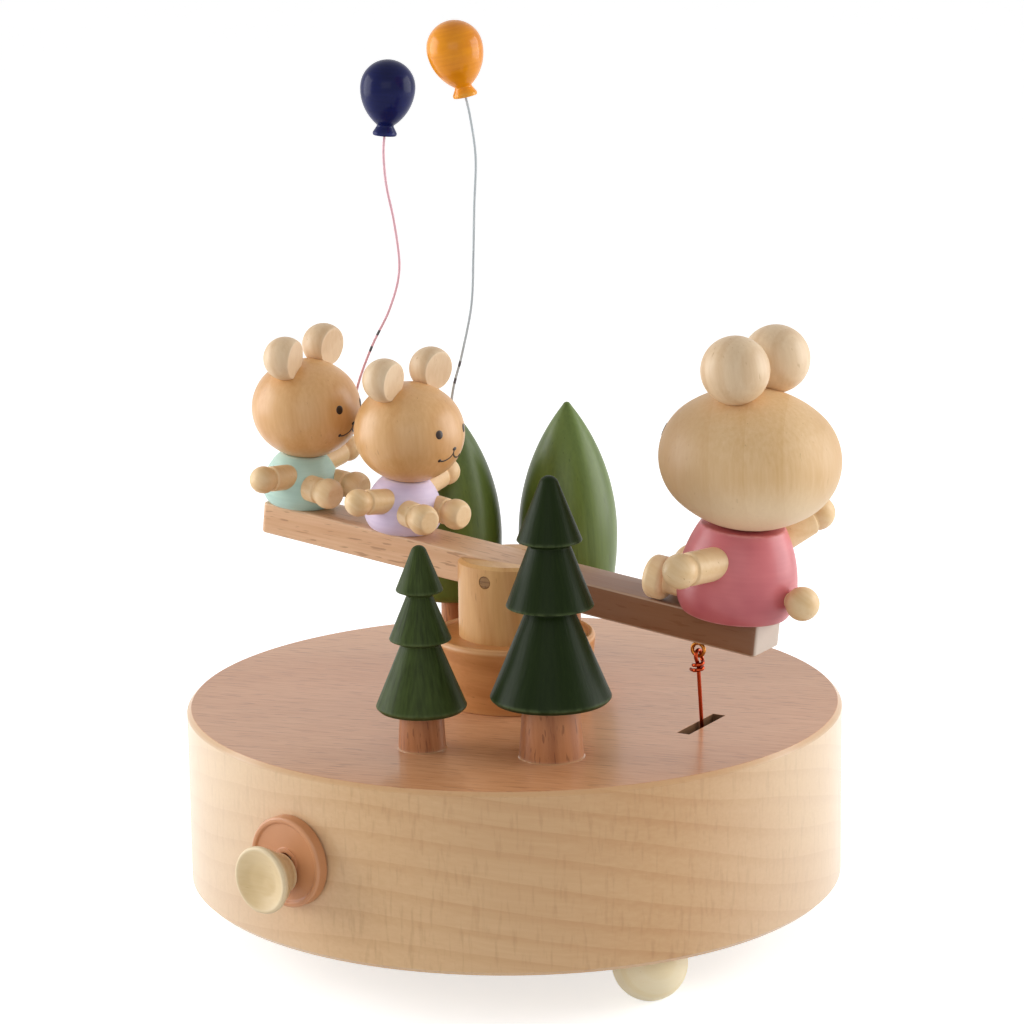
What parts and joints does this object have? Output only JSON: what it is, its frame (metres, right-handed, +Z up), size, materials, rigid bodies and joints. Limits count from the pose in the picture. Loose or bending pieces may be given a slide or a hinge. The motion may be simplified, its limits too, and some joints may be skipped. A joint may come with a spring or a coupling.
{
  "type": "wooden music box",
  "caption": "Round wooden wind-up music box with a seesaw of three bears, four trees, a winding knob on its side and two balloons on wires.",
  "frame": {"origin": "centre of the round base on the surface that the feet stand on", "axes": "+Z up; -Y towards the front, where the firs stand and the winding knob is at the left; +X to the right, where the seesaw's low end is"},
  "size_m": [0.12, 0.12, 0.1645],
  "materials": {
    "base_beech": "satin",
    "cover_board": "matt",
    "foot_wood": "satin",
    "knob_wood": "satin",
    "plinth_wood": "satin",
    "post_wood": "satin",
    "pin_wood": "matt",
    "beam_wood": "satin",
    "fir_green": "gloss paint on wood",
    "rear_green": "satin stain on wood",
    "trunk_wood": "satin",
    "bear_wood": "satin",
    "ear_wood": "satin",
    "limb_wood": "satin",
    "mint_paint": "satin paint on wood",
    "lilac_paint": "satin paint on wood",
    "pink_paint": "satin paint on wood",
    "big_head_wood": "satin",
    "navy_paint": "gloss paint on wood",
    "orange_paint": "gloss paint on wood",
    "plate_plastic": "moulded",
    "steel": "plain",
    "eye_brass": "plain",
    "copper_wire": "enamelled copper wire",
    "pink_wire": "coated wire",
    "grey_wire": "coated wire",
    "cast_frame": "cast zinc",
    "brass": "plain",
    "spring_steel": "blued",
    "fan_plastic": "moulded"
  },
  "bodies": {
    "base": {"base_body": "base_beech", "bottom_cover": "cover_board", "cover_screws": "steel", "ball_feet": "foot_wood", "winding_plate": "plate_plastic", "pivot_plinth": "plinth_wood", "pivot_post": "post_wood", "pivot_pin": "pin_wood", "small_fir_crown": "fir_green", "large_fir_crown": "fir_green", "left_tree_crown": "rear_green", "right_tree_crown": "rear_green", "small_fir_trunk": "trunk_wood", "large_fir_trunk": "trunk_wood", "left_tree_trunk": "trunk_wood", "right_tree_trunk": "trunk_wood", "bedplate": "cast_frame", "steel_comb": "spring_steel", "comb_screws": "steel", "governor_frame": "cast_frame", "movement_screws": "steel"},
    "winding": {"knob_head": "knob_wood", "winding_arbor": "steel"},
    "barrel": {"spring_barrel": "brass", "mainspring": "spring_steel"},
    "cylinder": {"pinned_cylinder": "brass", "crank": "brass"},
    "governor_wheel_body": {"governor_wheel": "brass"},
    "governor_fan_body": {"governor_fan": "fan_plastic"},
    "seesaw": {"big_body": "pink_paint", "big_head": "big_head_wood", "big_ears": "ear_wood", "big_tail": "limb_wood", "navy_balloon": "navy_paint", "orange_balloon": "orange_paint", "navy_balloon_wire": "pink_wire", "orange_balloon_wire": "grey_wire", "mint_body": "mint_paint", "mint_head": "bear_wood", "mint_ears": "ear_wood", "lilac_body": "lilac_paint", "lilac_head": "bear_wood", "lilac_ears": "ear_wood", "mint_near_arm": "limb_wood", "mint_far_arm": "limb_wood", "mint_left_leg": "limb_wood", "mint_right_leg": "limb_wood", "lilac_near_arm": "limb_wood", "lilac_far_arm": "limb_wood", "lilac_left_leg": "limb_wood", "lilac_right_leg": "limb_wood", "big_near_arm": "limb_wood", "big_far_arm": "limb_wood", "big_left_leg": "limb_wood", "big_right_leg": "limb_wood", "seesaw_beam": "beam_wood", "screw_eye": "eye_brass"},
    "pull": {"pull_wire": "copper_wire"}
  },
  "joints": [
    {"name": "seesaw_rock", "type": "hinge", "parent": "base", "child": "seesaw", "pos_m": [0, 0, 0.0661], "axis": [0.515, 0.8572, 0], "range_deg": [-11.8, 0]},
    {"name": "wire_swing", "type": "hinge", "parent": "seesaw", "child": "pull", "pos_m": [0.03274, -0.01967, 0.05616], "axis": [0.515, 0.8572, 0], "range_deg": [0, 11.8]},
    {"name": "cylinder_turn", "type": "hinge", "parent": "base", "child": "cylinder", "pos_m": [0.02145, -0.0055, 0.0252], "axis": [0.7683, -0.6401, 0], "continuous": true},
    {"name": "barrel_turn", "type": "hinge", "parent": "base", "child": "barrel", "pos_m": [0, 0, 0.0252], "axis": [0.6401, 0.7683, 0], "continuous": true},
    {"name": "governor_wheel_turn", "type": "hinge", "parent": "base", "child": "governor_wheel_body", "pos_m": [0.02414, -0.01946, 0.0252], "axis": [0.7683, -0.6401, 0], "continuous": true},
    {"name": "governor_fan_turn", "type": "hinge", "parent": "base", "child": "governor_fan_body", "pos_m": [0.02062, -0.02493, 0.0252], "axis": [0, 0, 1], "continuous": true},
    {"name": "knob_turn", "type": "hinge", "parent": "base", "child": "winding", "pos_m": [-0.04161, -0.04994, 0.0252], "axis": [-0.6401, -0.7683, 0], "continuous": true}
  ],
  "couplings": [
    {"joint": "wire_swing", "follows": "seesaw_rock", "ratio": -1},
    {"joint": "barrel_turn", "follows": "cylinder_turn", "ratio": 0.34286},
    {"joint": "governor_wheel_turn", "follows": "cylinder_turn", "ratio": -4},
    {"joint": "governor_fan_turn", "follows": "cylinder_turn", "ratio": -24}
  ]
}
